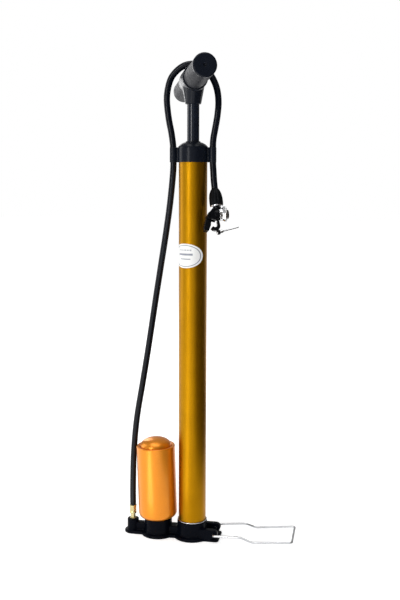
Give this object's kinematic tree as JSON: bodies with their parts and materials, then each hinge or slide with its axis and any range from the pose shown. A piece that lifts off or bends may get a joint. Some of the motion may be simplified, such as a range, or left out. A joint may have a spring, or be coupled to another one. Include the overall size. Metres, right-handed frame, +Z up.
{
  "type": "floor bike pump",
  "caption": "Upright floor pump: barrel on a lobed foot with a side air chamber, T handle, looped hose with lever pump head and ball needle, and a folding wire foot stirrup.",
  "frame": {"origin": "on the floor, on the axis of the barrel, at the flat underside of the base casting", "axes": "+Z up along the barrel; +X along the foot from the air chamber towards the folding stirrup; -Y towards the near end of the handle"},
  "size_m": [0.2226, 0.2072, 0.6017],
  "materials": {
    "black_paint": "satin black enamel on a casting",
    "gold_paint": "satin metallic gold lacquer",
    "orange_paint": "glossy metallic orange lacquer",
    "black_plastic": "moulded, satin to gloss",
    "grip_plastic": "moulded, fine grain",
    "head_plastic": "moulded, coarse grain",
    "hose_rubber": "smooth extruded rubber, slight shine",
    "rubber": "matt",
    "rod_paint": "glossy black on steel tube",
    "brass": "pale, machined",
    "chrome": "bright",
    "steel": "bright zinc",
    "leather": "oiled",
    "label": null
  },
  "bodies": {
    "root": {"base_casting": "black_paint", "barrel_foot_ring": "steel", "barrel_gasket": "rubber", "barrel_tube": "gold_paint", "barrel_label": "label", "top_cap": "black_plastic", "rod_guide_bush": "black_plastic", "chamber_shell": "orange_paint", "chamber_lid": "orange_paint", "chamber_seal": "rubber", "valve_seat": "brass", "valve_cage": "brass", "hose_nipple": "brass", "hose_ferrule": "brass", "air_hose": "hose_rubber", "head_boot": "rubber", "head_ring": "chrome", "head_body": "head_plastic", "head_collar": "chrome", "head_grommet": "rubber", "lever_pin": "head_plastic", "needle_holder": "head_plastic", "ball_needle": "chrome"},
    "piston": {"piston_plate": "black_plastic", "piston_cup": "leather", "piston_washer": "steel", "piston_nut": "steel", "piston_stud": "steel"},
    "handle": {"pump_rod": "rod_paint", "handle_boss": "black_plastic", "handle_pin": "steel", "handle_core": "steel", "grip_near": "grip_plastic", "grip_far": "grip_plastic", "end_cap_near": "black_plastic", "end_cap_far": "black_plastic"},
    "lever": {"head_lever": "head_plastic"},
    "plunger": {"head_plunger": "steel"},
    "check_ball": {"valve_ball": "steel"},
    "stirrup": {"foot_stirrup": "steel"}
  },
  "joints": [
    {"name": "pump_stroke", "type": "slide", "parent": "root", "child": "piston", "axis": [0, 0, 1], "range_m": [0, 0.44], "deforming": ["air_hose"]},
    {"name": "handle_turn", "type": "hinge", "parent": "piston", "child": "handle", "pos_m": [0, 0, 0.578], "axis": [0, 0, 1], "range_deg": [-14, 9]},
    {"name": "head_lever_swing", "type": "hinge", "parent": "root", "child": "lever", "pos_m": [0.02317, -0.01785, 0.41379], "axis": [-0.3378, 0.8938, -0.2949], "range_deg": [0, 70]},
    {"name": "head_plunger_slide", "type": "slide", "parent": "root", "child": "plunger", "axis": [0.9281, 0.3684, 0.0535], "range_m": [0, 0.0024]},
    {"name": "check_ball_lift", "type": "slide", "parent": "root", "child": "check_ball", "axis": [0, 0, 1], "range_m": [0, 0.0015]},
    {"name": "foot_fold", "type": "hinge", "parent": "root", "child": "stirrup", "pos_m": [0.03, 0, 0.0095], "axis": [0, -1, 0], "range_deg": [-5.5, 94]}
  ],
  "couplings": [
    {"joint": "head_lever_swing", "follows": "head_plunger_slide", "rad_per_m": 508}
  ]
}
